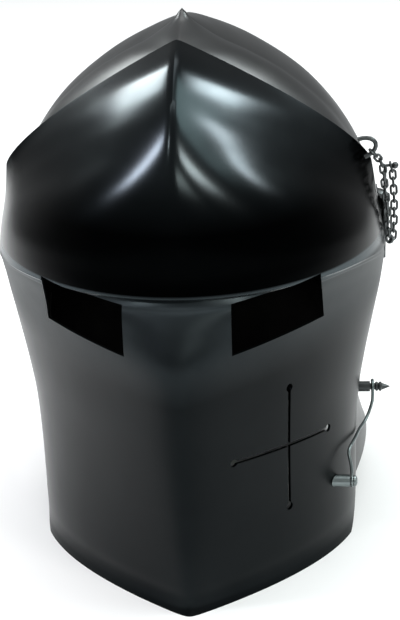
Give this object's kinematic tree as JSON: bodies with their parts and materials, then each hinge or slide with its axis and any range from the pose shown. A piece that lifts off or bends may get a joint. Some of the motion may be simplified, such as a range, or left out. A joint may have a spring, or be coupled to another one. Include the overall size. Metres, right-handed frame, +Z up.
{
  "type": "visored barbute helmet",
  "caption": "Blackened steel barbute with a ridged, keeled visor on side pivots, a pinned hinge with a chain and a hook catch.",
  "frame": {"origin": "centre of the helmet's bounding box, on the floor that its rim stands on", "axes": "+X towards the wearer's left, +Y towards the back of the head, +Z up"},
  "size_m": [0.2271, 0.2761, 0.305],
  "materials": {
    "skull_steel": "satin",
    "visor_steel": "gloss",
    "fitting_steel": "satin",
    "bright_steel": "satin"
  },
  "bodies": {
    "skull": {"skull": "skull_steel", "pivot_left": "fitting_steel", "pivot_right": "fitting_steel", "catch_stud": "fitting_steel"},
    "visor": {"visor": "visor_steel", "arm_right": "fitting_steel", "arm_left": "fitting_steel", "visor_leaf_right": "fitting_steel", "hinge_pin_right": "fitting_steel", "chain_staple_right": "fitting_steel", "pin_chain_right": "fitting_steel", "visor_stud": "bright_steel"},
    "hook": {"catch_hook": "bright_steel"}
  },
  "joints": [
    {"name": "visor_lift", "type": "hinge", "parent": "skull", "child": "visor", "pos_m": [0, 0.0182, 0.18513], "axis": [-1, 0, 0], "range_deg": [0, 55]},
    {"name": "hook_swing", "type": "hinge", "parent": "visor", "child": "hook", "pos_m": [0.0893, -0.05698, 0.0424], "axis": [1, 0, 0], "range_deg": [0, 110]}
  ],
  "couplings": [
    {"joint": "hook_swing", "follows": "visor_lift", "ratio": 2}
  ]
}
